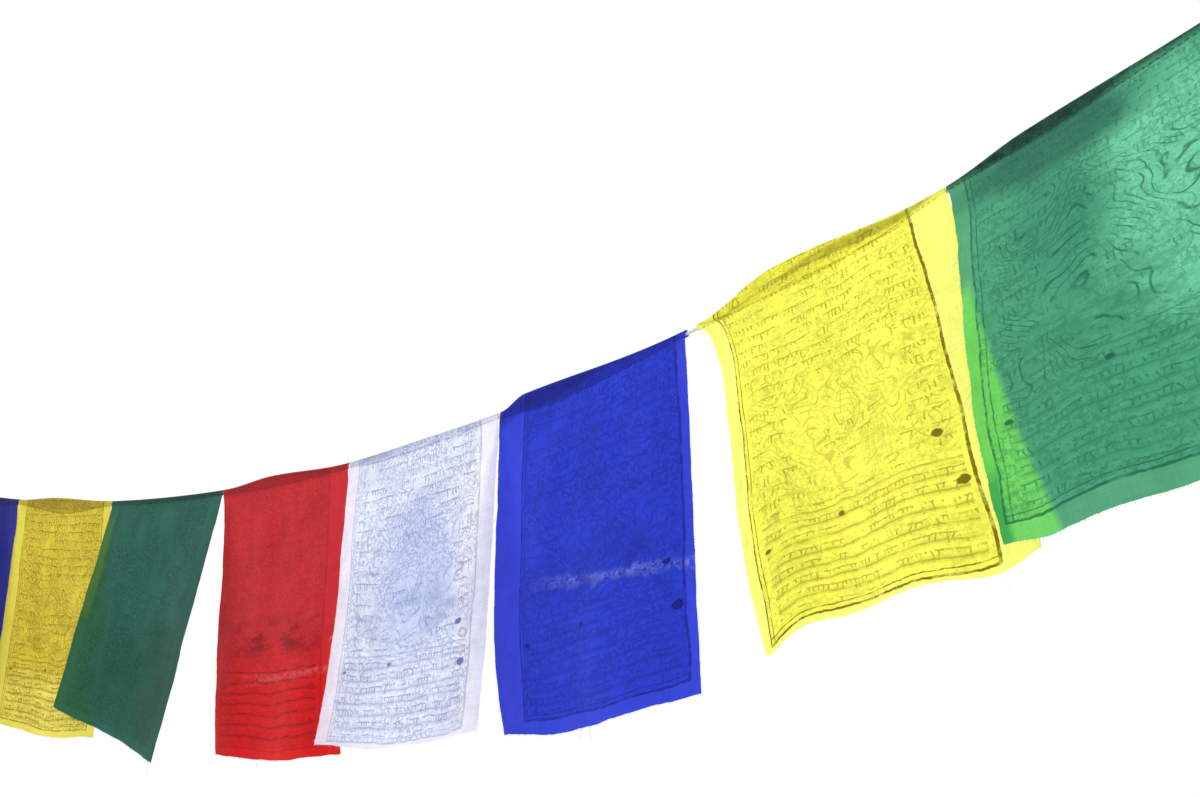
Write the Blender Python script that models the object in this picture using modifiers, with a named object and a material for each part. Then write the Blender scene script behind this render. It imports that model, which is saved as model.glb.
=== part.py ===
"""A string of eight cotton prayer flags on one header cord, tied off in a loop at each end.

Metres, +Z up. +X runs along the string from its left end, and the printed faces look along -Y.
The origin is the tip of the left loop, where the string is held up.
"""

from collections import namedtuple
from math import asinh, atan2, cos, cosh, pi, radians, sin, sinh

import bmesh
import bpy
from mathutils import Matrix, Vector

MM = 0.001

# Header cord
CORD_RADIUS = 1.25 * MM
CATENARY = 2.96  # how flat the cord hangs: the larger, the flatter
LOW_POINT = 0.84  # from the first flag's outer corner to the lowest point, along X
WIND_BOW = 0.068  # how far the wind pushes the middle of the string back
WIND_SPAN = 1.45  # the length over which it does so, along X
CORD_POINTS = 80

# Tied ends
LEAD = 30 * MM  # bare cord between the outer flag and the knot
KNOT_LENGTH = 9 * MM
KNOT_RADIUS = 3.4 * MM
LOOP_LENGTH = 34 * MM
LOOP_WIDTH = 17 * MM
LOOP_REACH = LOOP_LENGTH + KNOT_LENGTH / 2  # from the knot's middle
LOOP_FULLNESS = 0.65  # the drop outline's own greatest half width
LOOP_LEGS = 1.45 * MM  # half the space between the loop's two legs, inside the knot
LOOP_START = 0.5  # where on its outline, in radians, the loop leaves the knot
LOOP_POINTS = 26
TAIL_LENGTH = 16 * MM
TAIL_DROOP = radians(62)
TAIL_FRONT = 1.4 * MM  # the tail leaves the knot this far in front of its middle
END_LENGTH = LEAD + KNOT_LENGTH + LOOP_LENGTH

# Cloth, and the pocket that its top edge makes around the cord
CLOTH = 1.2 * MM
POCKET_RADIUS = 2.3 * MM  # from the cord's middle to the middle of the cloth
POCKET_RISE = 1.25  # the fold stands higher than a half circle
POCKET_BELOW = 2.2 * MM  # the pocket keeps its width down to here, under the cord's middle
FOLD_TOP = POCKET_RADIUS * POCKET_RISE + CLOTH / 2
HEM_SIDES = 7.5  # depth of the folded edge at the flag's sides, in millimetres
HEM_LAYERS = CLOTH + 0.4 * MM  # between the two layers' middles at the hem's end
FOLD_STEPS = 5
COLUMNS = 12
ROWS = (0.035, 0.08, 0.14, 0.21, 0.29, 0.37, 0.45, 0.53, 0.61, 0.69, 0.77, 0.85, 0.93, 1.0)
BELLY_TURN = 0.75 * pi  # the belly is deepest two thirds of the way down
WAVE_SLANT = 0.12  # how far the upright waves drift sideways on their way down
CLEARANCE = 0.3 * MM

# How each flag is cut, in millimetres. gap is the bare cord up to the next flag, low_edge how far
# the bottom edge dips below the line between its corners, and low_at where, from 0 left to 1 right.
# hem is the deepest that the folded edge comes down behind, where the fold lies on the cord.
Cut = namedtuple("Cut", "name colour width gap drop_left drop_right low_edge low_at hem hem_at")
CUTS = (
    Cut("flag_1_blue", "blue", 182, 2, 238, 240, 3, 0.5, 9, 0.5),
    Cut("flag_2_yellow", "yellow", 174, 2, 245, 241, 6, 0.5, 15, 0.5),
    Cut("flag_3_green", "green", 182, 2, 220, 255, -2, 0.5, 8, 0.8),
    Cut("flag_4_red", "red", 175, 2, 244, 244, 3, 0.5, 8, 0.5),
    Cut("flag_5_white", "white", 175, 3, 237, 239, 4.5, 0.4, 10, 0.2),
    Cut("flag_6_blue", "blue", 176, 10, 240, 241, 5, 0.35, 12, 0.35),
    Cut("flag_7_yellow", "yellow", 180, 1, 228, 235, -12, 0.23, 12, 0.7),
    Cut("flag_8_green", "green", 178, 2, 238, 236, 5, 0.15, 8, 0.3),
)

# How each flag hangs. swing and lean are the left and right sides' angles in degrees, swing towards
# the viewer and lean to the right. The rest is in millimetres: lift raises the fold above the cord,
# belly and bow push the cloth forward in its middle and over its full width, ripple is a number of
# soft upright waves, and waist and tuck draw a side in below its top corner and lower down.
Hang = namedtuple(
    "Hang",
    "swing_left swing_right lean_left lean_right lift lift_at belly bow ripple waves "
    "waist_left waist_right tuck_left tuck_right",
)
HANGS = (
    Hang(-10, -11, 1, 2, 1, 0.5, 7, -3, 2.5, 1.5, 1, 0, 0, 0),
    Hang(-7, -9, -1, -1, 4, 0.4, -6, -2, 2.5, 1.5, -0.5, -1, 0, 0),
    Hang(6.5, 5.5, 4, -0.2, 0, 0.5, -9, 3, 2.5, 1.0, 4.5, -4, 2, -2),
    Hang(-9, -3.5, -0.5, 2.7, 5, 0.4, 7, -3, 3.0, 1.5, 1.5, -1.5, -7, 7),
    Hang(1, 1, 0, -0.7, 1, 0.5, -6, 2, 2.5, 2.0, 3, -3.2, 7, -3),
    Hang(-7, -1, -3, -1, 7, 0.14, 8, -3, 3.0, 1.5, -2.5, 0.5, -9.5, 2),
    Hang(-2, 9.5, 7.5, 6.5, 13, 0.36, -7, 3, 8.4, 1.7, 14, -2.5, -6.5, 0),
    Hang(13.5, 9, 3.7, 2.5, 5.5, 0.27, 10, 4, -3.0, 2.15, 3.5, 2, -4.5, 0),
)

# Base colour of each cloth and of the cord
COLOURS = {
    "blue": (0.030, 0.058, 0.62),
    "yellow": (0.90, 0.93, 0.10),
    "green": (0.050, 0.34, 0.18),
    "red": (0.56, 0.020, 0.026),
    "white": (0.72, 0.77, 0.92),
    "cord": (0.78, 0.76, 0.70),
}
CLOTH_ROUGHNESS = 0.9


def clear_scene():
    """Start from an empty scene."""
    for item in list(bpy.data.objects):
        bpy.data.objects.remove(item, do_unlink=True)


def material(name):
    """A matt cotton finish in one of the string's colours."""
    found = bpy.data.materials.get(name) or bpy.data.materials.new(name)
    found.use_nodes = True
    shader = found.node_tree.nodes["Principled BSDF"]
    shader.inputs["Base Color"].default_value = (*COLOURS[name], 1.0)
    shader.inputs["Roughness"].default_value = CLOTH_ROUGHNESS
    shader.inputs["Metallic"].default_value = 0.0
    return found


def curve_point(along):
    """The point at a length along the cord, measured from the first flag's outer corner."""
    low_length = CATENARY * sinh(LOW_POINT / CATENARY)
    x = LOW_POINT + CATENARY * asinh((along - low_length) / CATENARY)
    z = CATENARY * (cosh((x - LOW_POINT) / CATENARY) - 1)
    y = WIND_BOW * 4 * (x / WIND_SPAN) * (1 - x / WIND_SPAN)
    return Vector((x, y, z))


ORIGIN = curve_point(-END_LENGTH)


def cord_point(along):
    """The same point, measured from the left loop's tip."""
    return curve_point(along) - ORIGIN


def cord_direction(along):
    """The cord's direction there, towards its right end."""
    step = 1 * MM
    return (cord_point(along + step) - cord_point(along - step)).normalized()


def string_length():
    """The length of cord that the flags and the gaps between them take."""
    return sum(cut.width + cut.gap for cut in CUTS) * MM - CUTS[-1].gap * MM


def mix(a, b, share):
    return a + (b - a) * share


def hump(at, peak):
    """A soft hump along a flag's width: 0 at its sides and 1 at the peak."""
    reach = at / peak if at < peak else (1 - at) / (1 - peak)
    return sin(pi / 2 * reach) ** 2


def hang_direction(hang, share, along):
    """Which way the cloth hangs from the cord, a share of the way across the flag."""
    swing = radians(mix(hang.swing_left, hang.swing_right, share))
    lean = radians(mix(hang.lean_left, hang.lean_right, share))
    level = cord_direction(along)
    level.z = 0
    level.normalize()
    forward = Vector((level.y, -level.x, 0))
    down = Vector((0, 0, -1)) * cos(swing) + forward * sin(swing)
    return (down * cos(lean) + level * sin(lean)).normalized()


def relief(hang, share, fall):
    """How far the cloth stands forward, a share of the way across and a share of the way down."""
    window = 1 - (2 * share - 1) ** 4
    belly = hang.belly * sin(pi * share) * sin(BELLY_TURN * fall)
    bow = hang.bow * sin(pi * fall)
    wave = hang.ripple * window * fall * sin(2 * pi * hang.waves * (share + WAVE_SLANT * fall))
    return (belly + bow + wave) * MM


def side_shift(hang, share, fall):
    """How far a point moves along the cord where the flag's sides are drawn in."""
    early = sin(pi * fall**0.5)
    late = sin(pi * fall**1.6)
    left = (hang.waist_left * early + hang.tuck_left * late) * (1 - share) ** 3
    right = (hang.waist_right * early + hang.tuck_right * late) * share**3
    return (left - right) * MM


def profile(cut, hang, share):
    """The cloth's section as pairs of depth under the cord's middle and place in front of it.

    It runs from the hem's end up behind the cord, over it, and down to the flag's lower edge.
    """
    lift = hang.lift * MM * hump(share, hang.lift_at)
    drop = mix(cut.drop_left, cut.drop_right, share) * MM
    low = drop + cut.low_edge * MM * hump(share, cut.low_at) - FOLD_TOP
    hem = mix(HEM_SIDES, cut.hem, hump(share, cut.hem_at)) * MM
    section = [
        (hem - FOLD_TOP, POCKET_RADIUS - HEM_LAYERS),
        (POCKET_BELOW, -POCKET_RADIUS),
    ]
    for step in range(FOLD_STEPS + 1):
        angle = pi * step / FOLD_STEPS
        depth = -lift - POCKET_RADIUS * POCKET_RISE * sin(angle)
        section.append((depth, -POCKET_RADIUS * cos(angle)))
    section += [(mix(POCKET_BELOW, low, row), POCKET_RADIUS) for row in (0.0, *ROWS)]
    return section, low


def flag(cut, hang, start):
    """One flag: a sheet with its hem folded over the cord, as a thin closed solid."""
    rows = []
    for column in range(COLUMNS + 1):
        share = column / COLUMNS
        along = start + cut.width * MM * share
        down = hang_direction(hang, share, along)
        front = down.cross(cord_direction(along)).normalized()
        section, low = profile(cut, hang, share)
        line = []
        for depth, forward in section:
            fall = max(0.0, (depth - POCKET_BELOW) / (low - POCKET_BELOW))
            beside = cord_direction(along) * side_shift(hang, share, fall)
            out = front * (forward + relief(hang, share, fall))
            line.append(cord_point(along) + down * depth + out + beside)
        rows.append(line)
    mesh = bpy.data.meshes.new(cut.name)
    build = bmesh.new()
    grid = [[build.verts.new(point) for point in line] for line in rows]
    for left, right in zip(grid, grid[1:]):
        for i in range(len(left) - 1):
            build.faces.new((left[i], left[i + 1], right[i + 1], right[i]))
    build.to_mesh(mesh)
    build.free()
    mesh.shade_smooth()
    mesh.materials.append(material(cut.colour))
    sheet = bpy.data.objects.new(cut.name, mesh)
    thicken = sheet.modifiers.new("thickness", "SOLIDIFY")
    thicken.thickness = CLOTH
    thicken.offset = 0.0
    thicken.use_even_offset = True
    return sheet


def tube(name, points, radius):
    """A cord along these points, with round sides and closed ends."""
    curve = bpy.data.curves.new(name, "CURVE")
    curve.dimensions = "3D"
    curve.bevel_depth = radius
    curve.bevel_resolution = 2
    curve.use_fill_caps = True
    spline = curve.splines.new("POLY")
    spline.points.add(len(points) - 1)
    for knob, point in zip(spline.points, points):
        knob.co = (*point, 1.0)
    curve.materials.append(material("cord"))
    return bpy.data.objects.new(name, curve)


def header_cord():
    """The cord through all the hems, from one end knot to the other."""
    first = -LEAD + CLEARANCE
    last = string_length() + LEAD - CLEARANCE
    steps = [mix(first, last, i / (CORD_POINTS - 1)) for i in range(CORD_POINTS)]
    return tube("header_cord", [cord_point(along) for along in steps], CORD_RADIUS)


def solid_mesh(item):
    """A curve object as a closed mesh object in the same place."""
    graph = bpy.context.evaluated_depsgraph_get()
    mesh = bpy.data.meshes.new_from_object(item.evaluated_get(graph))
    build = bmesh.new()
    build.from_mesh(mesh)
    bmesh.ops.remove_doubles(build, verts=build.verts, dist=0.01 * MM)
    build.to_mesh(mesh)
    build.free()
    made = bpy.data.objects.new(item.name, mesh)
    made.matrix_world = item.matrix_world
    bpy.data.objects.remove(item, do_unlink=True)
    return made


def join(body, other, cutters):
    """Add another solid to this one."""
    cutters.objects.link(other)
    other.hide_render = True
    other.display_type = "WIRE"
    union = body.modifiers.new(other.name, "BOOLEAN")
    union.operation = "UNION"
    union.object = other


def end_loop(name, along, outward, parts, cutters):
    """The loop that a cord's end is tied into: knot, loop and the short free tail."""
    out = cord_direction(along) * outward
    up = out.cross(Vector((0, 1, 0))).normalized() * outward
    start = cord_point(along)
    middle = start + out * KNOT_LENGTH / 2

    knot_mesh = bpy.data.meshes.new(name)
    build = bmesh.new()
    turn = Matrix.Rotation(atan2(out.z, out.x), 4, "Y").inverted()
    stretch = Matrix.Diagonal((KNOT_LENGTH / 2, KNOT_RADIUS, KNOT_RADIUS, 1))
    place = Matrix.Translation(middle) @ turn @ stretch
    bmesh.ops.create_uvsphere(build, u_segments=12, v_segments=8, radius=1.0, matrix=place)
    build.to_mesh(knot_mesh)
    build.free()
    knot_mesh.materials.append(material("cord"))
    knot = bpy.data.objects.new(name, knot_mesh)
    parts.objects.link(knot)

    turns = []
    for step in range(LOOP_POINTS):
        angle = mix(LOOP_START, 2 * pi - LOOP_START, step / (LOOP_POINTS - 1))
        reach = KNOT_LENGTH / 2 + LOOP_REACH * (1 - cos(angle)) / 2
        swell = LOOP_WIDTH / 2 / LOOP_FULLNESS * sin(angle) * sin(angle / 2) ** 2
        turns.append(start + out * reach + up * (LOOP_LEGS * cos(angle / 2) + swell))
    ring = tube(name + "_ring", turns, CORD_RADIUS)
    parts.objects.link(ring)
    ring_mesh = solid_mesh(ring)

    tail_way = (up * -sin(TAIL_DROOP) + out * cos(TAIL_DROOP)).normalized()
    tail_start = middle - Vector((0, TAIL_FRONT, 0))
    tail = tube(name + "_tail", [tail_start, tail_start + tail_way * TAIL_LENGTH], CORD_RADIUS)
    parts.objects.link(tail)
    tail_mesh = solid_mesh(tail)

    join(knot, ring_mesh, cutters)
    join(knot, tail_mesh, cutters)
    return knot


def main():
    clear_scene()
    scene = bpy.context.scene
    parts = bpy.data.collections.new("prayer_flag_string")
    cutters = bpy.data.collections.new("joined_shapes")
    scene.collection.children.link(parts)
    scene.collection.children.link(cutters)
    start = 0.0
    for cut, hang in zip(CUTS, HANGS):
        parts.objects.link(flag(cut, hang, start))
        start += (cut.width + cut.gap) * MM
    parts.objects.link(header_cord())
    end_loop("left_loop", -LEAD, -1, parts, cutters)
    end_loop("right_loop", string_length() + LEAD, 1, parts, cutters)


main()
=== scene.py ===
# %% [markdown]
# A string of prayer flags is cut from thin printed cotton: eight rectangles, each hemmed over one
# cord. Nothing on it is stiff, so its whole shape is the shape in which it hangs. This lesson builds
# it from the cord outwards: the camera and the cord first, then the cloth with its stitches and raw
# edges, and last the dyes, the weave and the block print.

# %% Load the solids that the looks are built around
import random
from collections import namedtuple
from functools import partialmethod
from math import asinh, cos, cosh, exp, pi, radians, sin, sinh

import bmesh
import bpy
from mathutils import Matrix, Vector, noise


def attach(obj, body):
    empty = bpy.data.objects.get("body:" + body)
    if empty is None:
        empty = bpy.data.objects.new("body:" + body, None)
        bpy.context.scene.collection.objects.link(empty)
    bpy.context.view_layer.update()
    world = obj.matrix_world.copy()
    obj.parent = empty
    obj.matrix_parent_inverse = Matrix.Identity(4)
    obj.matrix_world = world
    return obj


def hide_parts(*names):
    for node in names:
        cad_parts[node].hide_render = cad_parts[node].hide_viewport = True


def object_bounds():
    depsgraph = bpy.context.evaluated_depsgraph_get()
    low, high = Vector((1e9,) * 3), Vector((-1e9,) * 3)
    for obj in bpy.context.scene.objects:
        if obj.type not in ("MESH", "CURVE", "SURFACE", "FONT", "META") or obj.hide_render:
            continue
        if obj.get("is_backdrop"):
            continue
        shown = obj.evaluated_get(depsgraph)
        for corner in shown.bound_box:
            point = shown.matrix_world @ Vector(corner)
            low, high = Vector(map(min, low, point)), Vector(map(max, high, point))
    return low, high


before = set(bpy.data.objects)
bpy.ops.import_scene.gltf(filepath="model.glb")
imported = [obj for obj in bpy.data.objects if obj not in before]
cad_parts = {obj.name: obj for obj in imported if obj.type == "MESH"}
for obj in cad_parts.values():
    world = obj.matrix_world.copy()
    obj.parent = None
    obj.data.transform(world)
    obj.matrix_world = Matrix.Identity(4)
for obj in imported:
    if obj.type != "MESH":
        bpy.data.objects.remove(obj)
cad_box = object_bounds()
MM = 0.001
print("solids in the frame:", len(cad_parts))

# %% [markdown]
# The photo looks up at the string from below its right end, so the flags grow from left to right and
# their cord runs uphill. A camera is only a place, three turns and a lens. The turns are applied in
# the order in which a photographer makes them: turn on the spot, tilt up, then roll.

# %% Aim the camera
CAMERA_PLACE = Vector((1.4329, -0.4503, -0.4685))
CAMERA_TURN = radians(35.8)  # to the left of the +Y direction
CAMERA_TILT = radians(25.8)  # above level
CAMERA_ROLL = radians(-0.5)
LENS = 30  # for a sensor 36 mm wide

camera = bpy.data.objects.new("camera", bpy.data.cameras.new("camera"))
camera.data.lens = LENS
camera.data.sensor_width = 36
camera.matrix_world = (
    Matrix.Translation(CAMERA_PLACE)
    @ Matrix.Rotation(CAMERA_TURN, 4, "Z")
    @ Matrix.Rotation(pi / 2 + CAMERA_TILT, 4, "X")
    @ Matrix.Rotation(CAMERA_ROLL, 4, "Z")
)
bpy.context.scene.collection.objects.link(camera)
bpy.context.scene.camera = camera
print("camera looks along", (camera.matrix_world.to_3x3() @ Vector((0, 0, -1))).to_tuple(2))

# %% [markdown]
# A cord held at both ends hangs in a catenary, and wind from the front bows it back in the middle.
# Both are one formula each, so the place of any point is worked out from its length along the cord.
# That keeps the flags their true width, however steep the cord runs.

# %% The line of the cord
CORD_RADIUS = 1.25 * MM
CATENARY = 2.96  # how flat the cord hangs: the larger, the flatter
LOW_POINT = 0.84  # from the first flag's outer corner to the lowest point, along X
WIND_BOW = 0.068  # how far the wind pushes the middle of the string back
WIND_SPAN = 1.45  # the length over which it does so, along X
LEAD = 30 * MM  # bare cord between the outer flag and the knot
KNOT_LENGTH = 9 * MM
LOOP_LENGTH = 34 * MM
END_LENGTH = LEAD + KNOT_LENGTH + LOOP_LENGTH
CLEARANCE = 0.3 * MM


def curve_point(along):
    """The point at a length along the cord, measured from the first flag's outer corner."""
    low_length = CATENARY * sinh(LOW_POINT / CATENARY)
    x = LOW_POINT + CATENARY * asinh((along - low_length) / CATENARY)
    z = CATENARY * (cosh((x - LOW_POINT) / CATENARY) - 1)
    y = WIND_BOW * 4 * (x / WIND_SPAN) * (1 - x / WIND_SPAN)
    return Vector((x, y, z))


ORIGIN = curve_point(-END_LENGTH)


def cord_point(along):
    """The same point, measured from the left loop's tip."""
    return curve_point(along) - ORIGIN


def cord_direction(along):
    """The cord's direction there, towards its right end."""
    return (cord_point(along + MM) - cord_point(along - MM)).normalized()


def mix(a, b, share):
    return a + (b - a) * share


def smooth(value, low, high):
    """0 below low, 1 above high, and a soft step between them."""
    share = min(1.0, max(0.0, (value - low) / (high - low)))
    return share * share * (3 - 2 * share)


print("cord slope at the right end:", round(cord_direction(1.44).z, 3))

# %% [markdown]
# How a flag hangs is a short table: its cut, and the way the wind and its own weight have set it. A
# flag cut 178 mm wide never hangs as a flat 178 mm card. It swings towards or away from the viewer,
# leans, bellies and ripples, and its sides draw in or flare out. Each row holds those few numbers.

# %% How each flag is cut and how it hangs
# In millimetres, but for shares of the width that end in _at. The gap is the bare cord after the
# flag, low_edge how far the lower edge sags below its corners, and hem how deep the folded edge is.
Cut = namedtuple("Cut", "name colour width gap drop_left drop_right low_edge low_at hem hem_at")
CUTS = (
    Cut("flag_1_blue", "blue", 182, 2, 238, 240, 3, 0.5, 9, 0.5),
    Cut("flag_2_yellow", "yellow", 174, 2, 245, 241, 6, 0.5, 15, 0.5),
    Cut("flag_3_green", "green", 182, 2, 220, 255, -2, 0.5, 8, 0.8),
    Cut("flag_4_red", "red", 175, 2, 244, 244, 3, 0.5, 8, 0.5),
    Cut("flag_5_white", "white", 175, 3, 237, 239, 4.5, 0.4, 10, 0.2),
    Cut("flag_6_blue", "blue", 176, 10, 240, 241, 5, 0.35, 12, 0.35),
    Cut("flag_7_yellow", "yellow", 180, 1, 228, 235, -12, 0.23, 12, 0.7),
    Cut("flag_8_green", "green", 178, 2, 238, 236, 5, 0.15, 8, 0.3),
)
# Swing and lean are in degrees, waves is a count, and the rest is in millimetres. lift raises the
# fold over the cord. waist and tuck draw a side in, halfway down and low down.
Hang = namedtuple(
    "Hang",
    "swing_left swing_right lean_left lean_right lift lift_at belly bow ripple waves "
    "waist_left waist_right tuck_left tuck_right",
)
HANGS = (
    Hang(-10, -11, 1, 2, 1, 0.5, 7, -3, 2.5, 1.5, 1, 0, 0, 0),
    Hang(-7, -9, -1, -1, 4, 0.4, -6, -2, 2.5, 1.5, -0.5, -1, 0, 0),
    Hang(6.5, 5.5, 4, -0.2, 0, 0.5, -9, 3, 2.5, 1.0, 4.5, -4, 2, -2),
    Hang(-9, -3.5, -0.5, 2.7, 5, 0.4, 7, -3, 3.0, 1.5, 1.5, -1.5, -7, 7),
    Hang(1, 1, 0, -0.7, 1, 0.5, -6, 2, 2.5, 2.0, 3, -3.2, 7, -3),
    Hang(-7, -1, -3, -1, 7, 0.14, 8, -3, 3.0, 1.5, -2.5, 0.5, -9.5, 2),
    Hang(-2, 9.5, 7.5, 6.5, 13, 0.36, -7, 3, 8.4, 1.7, 14, -2.5, -6.5, 0),
    Hang(13.5, 9, 3.7, 2.5, 5.5, 0.27, 10, 4, -3.0, 2.15, 3.5, 2, -4.5, 0),
)
STARTS = [sum(cut.width + cut.gap for cut in CUTS[:i]) * MM for i in range(len(CUTS))]
STRING_LENGTH = STARTS[-1] + CUTS[-1].width * MM
print("flags and gaps take", round(STRING_LENGTH, 3), "m of cord")

# %% [markdown]
# The cord is three cotton strands laid round each other. Modelling each strand would triple the
# mesh for something 2.5 mm thick, so one tube has a section with three rounded lobes, and the
# section turns as it travels. The vertices turn with it, which keeps every groove crisp.

# %% A tube that turns like laid rope
CORD_LAY = 9 * MM  # the length in which a strand goes once round
RINGS_A_TURN = 10
LOBE_SIDES = 5  # corners of the section on each of its three strands
GROOVE = 0.24  # how deep the grooves between the strands are, as a share of the radius


def travelled(points):
    """The length from the first point to each of the points."""
    lengths = [0.0]
    for a, b in zip(points, points[1:]):
        lengths.append(lengths[-1] + (b - a).length)
    return lengths


def even_steps(points, step):
    """The same line, with its points this far apart."""
    lengths = travelled(points)
    count = max(2, round(lengths[-1] / step))
    out = []
    k = 0
    for i in range(count + 1):
        target = lengths[-1] * i / count
        while k < len(points) - 2 and lengths[k + 1] < target:
            k += 1
        span = lengths[k + 1] - lengths[k] or 1
        out.append(points[k].lerp(points[k + 1], (target - lengths[k]) / span))
    return out


def laid_section(angle):
    """The section's radius, as a share of the cord's, at an angle from the top of a strand."""
    return 1 - GROOVE * (1 - abs(cos(1.5 * angle)) ** 0.6)


def link(item):
    bpy.context.scene.collection.objects.link(item)
    return item


def mesh_object(name, build):
    """A bmesh as a smooth object in the scene."""
    mesh = bpy.data.meshes.new(name)
    build.to_mesh(mesh)
    build.free()
    mesh.shade_smooth()
    return link(bpy.data.objects.new(name, mesh))


def tube(build, points, sides, corner):
    """Add a tube with closed ends to a bmesh. From the number of a ring and the even angle of one
    of its corners, corner gives that corner's own angle and its distance from the line."""
    normal = (points[1] - points[0]).orthogonal().normalized()
    rings = []
    for i, point in enumerate(points):
        ahead = points[min(i + 1, len(points) - 1)] - points[max(i - 1, 0)]
        ahead.normalize()
        normal = (normal - ahead * normal.dot(ahead)).normalized()
        other = ahead.cross(normal)
        ring = []
        for k in range(sides):
            angle, reach = corner(i, 2 * pi * k / sides)
            way = normal * cos(angle) + other * sin(angle)
            ring.append(build.verts.new(point + way * reach))
        rings.append(ring)
    for a, b in zip(rings, rings[1:]):
        for k in range(sides):
            j = (k + 1) % sides
            build.faces.new((a[k], a[j], b[j], b[k]))
    build.faces.new(rings[0][::-1])
    build.faces.new(rings[-1])


def laid_cord(build, points):
    """Add a three-strand cord along these points to a bmesh."""

    def corner(i, angle):
        return angle + 2 * pi * i / RINGS_A_TURN, CORD_RADIUS * laid_section(angle)

    tube(build, even_steps(points, CORD_LAY / RINGS_A_TURN), 3 * LOBE_SIDES, corner)


first = -LEAD + CLEARANCE
last = STRING_LENGTH + LEAD - CLEARANCE
HEADER_STEPS = 400
header_path = [cord_point(mix(first, last, i / HEADER_STEPS)) for i in range(HEADER_STEPS + 1)]
build = bmesh.new()
laid_cord(build, header_path)
header = mesh_object("twisted_header_cord", build)

# %% [markdown]
# Each end of the string is tied back on itself in a loop, so that it can go over a nail. The knot is
# a barrel: the end leaves the loop, wraps round both legs and comes out as a short tail. One
# continuous line through loop, wraps and tail gives all of it with the same laid tube.

# %% Tie the end loops
KNOT_RADIUS = 3.4 * MM
LOOP_WIDTH = 17 * MM
LOOP_REACH = LOOP_LENGTH + KNOT_LENGTH / 2
LOOP_FULLNESS = 0.65  # the drop outline's own greatest half width
LOOP_LEGS = 1.45 * MM  # half the space between the loop's two legs, inside the knot
TAIL_LENGTH = 16 * MM
TAIL_DROOP = radians(62)
TAIL_FRONT = 1.4 * MM
WRAPS = 2.6
LOOP_STEPS = 60
WRAP_STEPS = 48
TAIL_STEPS = 8
ROUNDING_PASSES = 2


def loop_line(along, outward):
    """The line of an end loop: out of the knot, round, back in, round the legs and off as a tail."""
    out = cord_direction(along) * outward
    up = out.cross(Vector((0, 1, 0))).normalized() * outward
    near = out.cross(up)
    start = cord_point(along)
    line = [start + out * 0.6 * MM]
    for step in range(LOOP_STEPS + 1):
        angle = 2 * pi * step / LOOP_STEPS
        reach = KNOT_LENGTH / 2 + LOOP_REACH * (1 - cos(angle)) / 2
        swell = LOOP_WIDTH / 2 / LOOP_FULLNESS * sin(angle) * sin(angle / 2) ** 2
        line.append(start + out * reach + up * (LOOP_LEGS * cos(angle / 2) + swell))
    wrap_radius = KNOT_RADIUS - CORD_RADIUS
    wrap_first = CORD_RADIUS
    wrap_last = KNOT_LENGTH - CORD_RADIUS
    for step in range(WRAP_STEPS + 1):
        share = step / WRAP_STEPS
        angle = pi + 2 * pi * WRAPS * share
        reach = mix(wrap_last, wrap_first, share)
        around = up * cos(angle) + near * sin(angle)
        line.append(start + out * reach + around * wrap_radius * smooth(share, -0.2, 0.06))
    middle = start + out * KNOT_LENGTH / 2 - Vector((0, TAIL_FRONT, 0))
    tail_way = (up * -sin(TAIL_DROOP) + out * cos(TAIL_DROOP)).normalized()
    for step in range(1, TAIL_STEPS + 1):
        share = step / TAIL_STEPS
        bend = Vector((0, -1, 0)) * sin(pi * share) * 1.2 * MM
        line.append(middle + tail_way * mix(3.2 * MM, TAIL_LENGTH, share) + bend)
    return line


def rounded(points):
    """The same line with its corners eased: each point moves towards its neighbours' middle."""
    for _ in range(ROUNDING_PASSES):
        eased = [(a + b + b + b + c) / 5 for a, b, c in zip(points, points[1:], points[2:])]
        points = [points[0], *eased, points[-1]]
    return points


def end_loop(name, along, outward):
    build = bmesh.new()
    laid_cord(build, rounded(loop_line(along, outward)))
    return mesh_object(name, build)


left_end = end_loop("tied_left_end", -LEAD, -1)
right_end = end_loop("tied_right_end", STRING_LENGTH + LEAD, 1)
print("end loops:", len(left_end.data.polygons), "faces each")

# %% [markdown]
# The cloth follows the solids' own folds: the same swing, belly and ripple, and the same hem, which
# is deepest and stands highest over the cord where the cloth is loose. A column holds what is the
# same all the way down one line of the cloth, so that each point on it is quickly found.

# %% Where the cloth hangs
CLOTH = 1.2 * MM
POCKET_RADIUS = 2.3 * MM  # from the cord's middle to the middle of the cloth
POCKET_RISE = 1.25
POCKET_BELOW = 2.2 * MM
FOLD_TOP = POCKET_RADIUS * POCKET_RISE + CLOTH / 2
HEM_SIDES = 7.5  # depth of the folded edge at a flag's sides, in millimetres
STITCH_ABOVE = 1.2 * MM  # the stitches' height above the hem's end
BELLY_TURN = 0.75 * pi
WAVE_SLANT = 0.12
PRINT_DROP = 240  # the length down the flag that the woodblock is laid out for

Column = namedtuple("Column", "number cut hang share top down side front lift low seam")


def hump(at, peak):
    """A soft hump along a flag's width: 0 at its sides and 1 at the peak."""
    reach = at / peak if at < peak else (1 - at) / (1 - peak)
    return sin(pi / 2 * reach) ** 2


def hang_direction(hang, share, along):
    """Which way the cloth hangs from the cord, a share of the way across the flag."""
    swing = radians(mix(hang.swing_left, hang.swing_right, share))
    lean = radians(mix(hang.lean_left, hang.lean_right, share))
    level = cord_direction(along)
    level.z = 0
    level.normalize()
    forward = Vector((level.y, -level.x, 0))
    down = Vector((0, 0, -1)) * cos(swing) + forward * sin(swing)
    return (down * cos(lean) + level * sin(lean)).normalized()


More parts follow.
